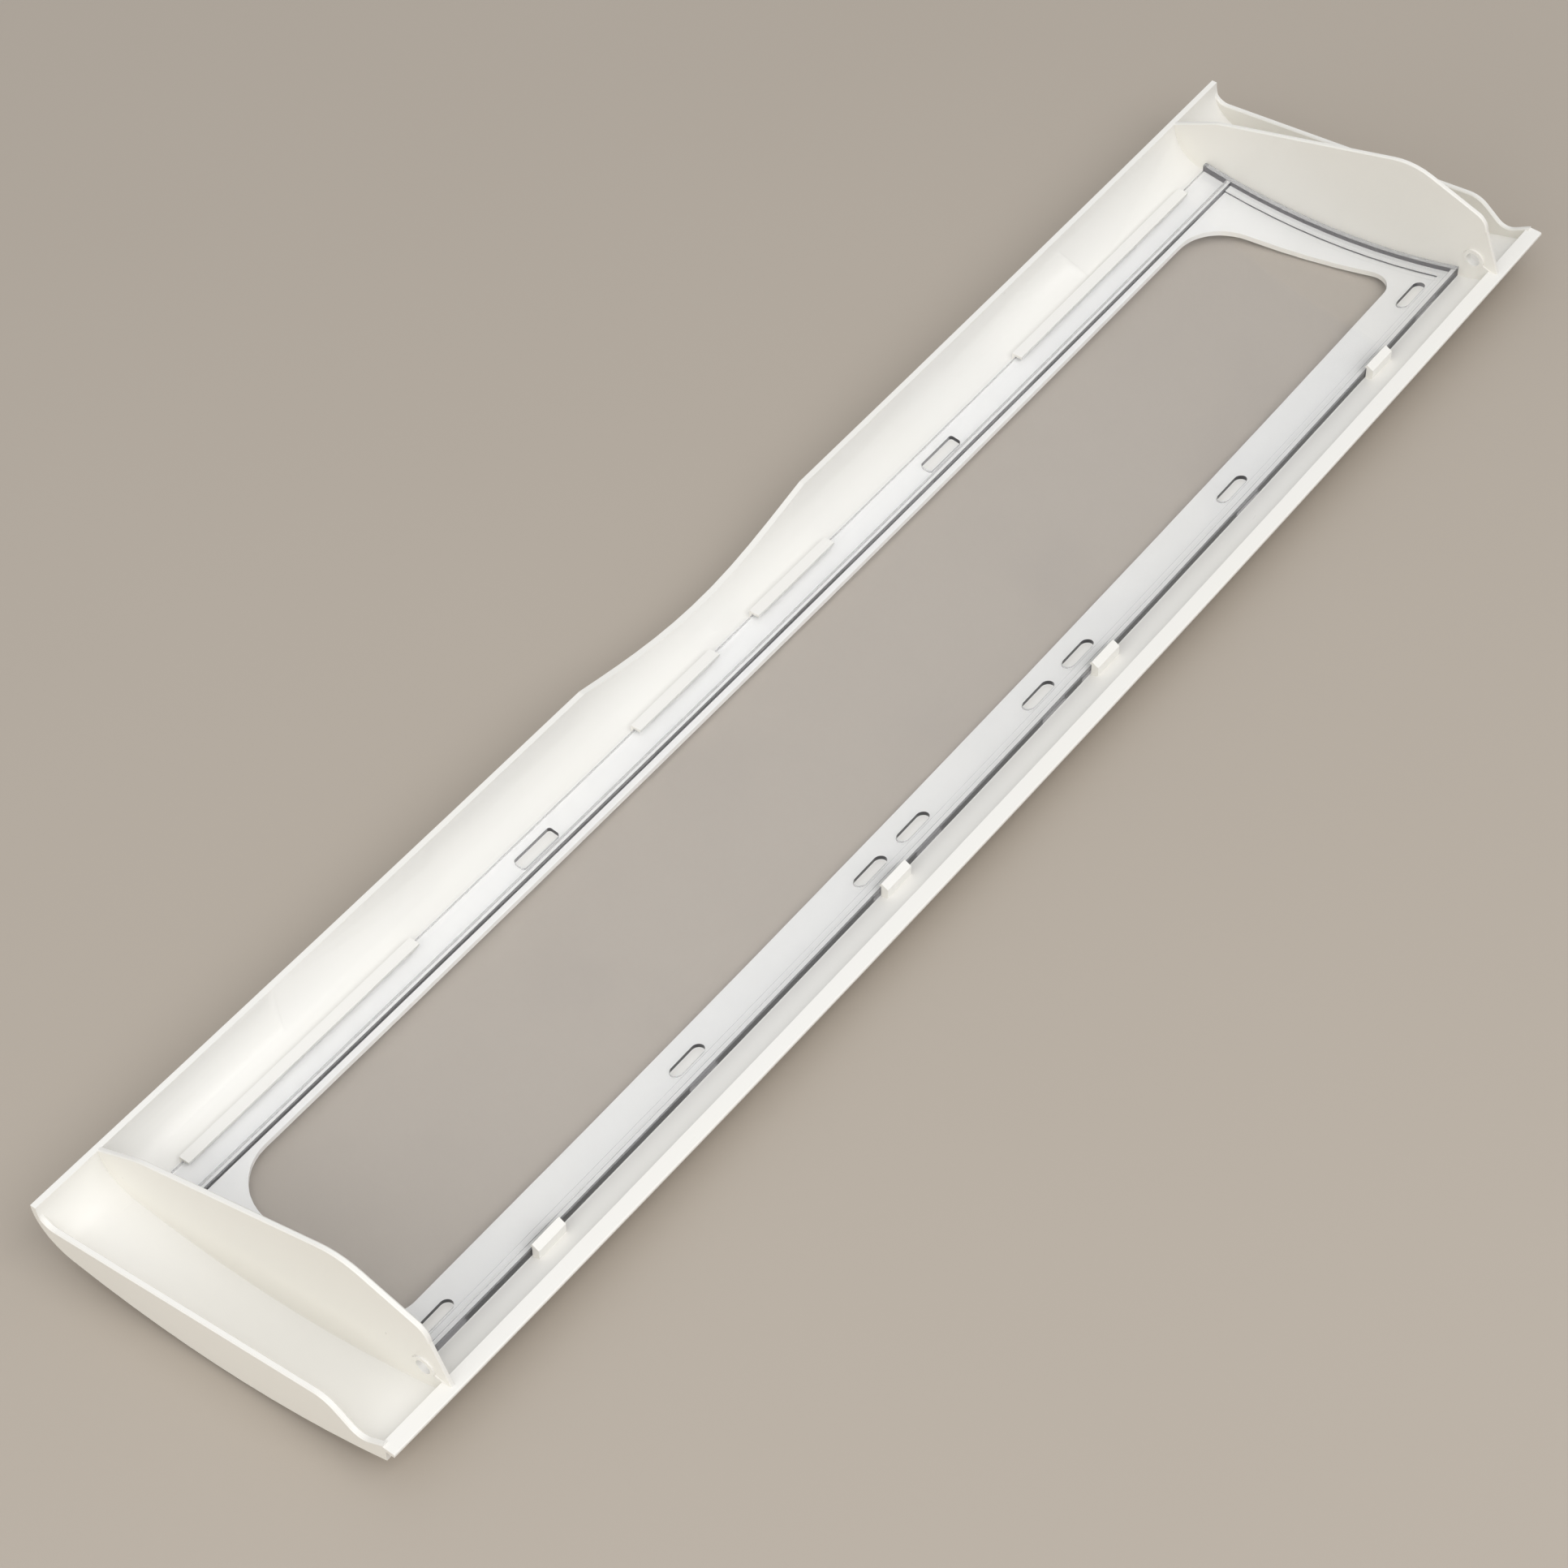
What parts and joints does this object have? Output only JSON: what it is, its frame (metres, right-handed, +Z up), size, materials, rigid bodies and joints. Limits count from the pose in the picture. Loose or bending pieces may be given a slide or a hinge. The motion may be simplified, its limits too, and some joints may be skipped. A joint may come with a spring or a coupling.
{
  "type": "refrigerator drawer front",
  "caption": "Bow-fronted white moulded drawer front for a fridge, with a rolled top edge and finger scoop, end fins and a clear window clipped behind its opening.",
  "frame": {"origin": "middle of the overall box at the surface the drawer front lies on, face down", "axes": "+X along the length, +Y towards the rolled top edge with the finger scoop, +Z up, out of the back of the front"},
  "size_m": [0.76, 0.1717, 0.0598],
  "materials": {
    "white_plastic": "glossy moulded white plastic",
    "clear_plastic": "clear polished plastic"
  },
  "bodies": {
    "root": {"drawer_frame": "white_plastic", "clear_window": "clear_plastic"}
  },
  "joints": []
}
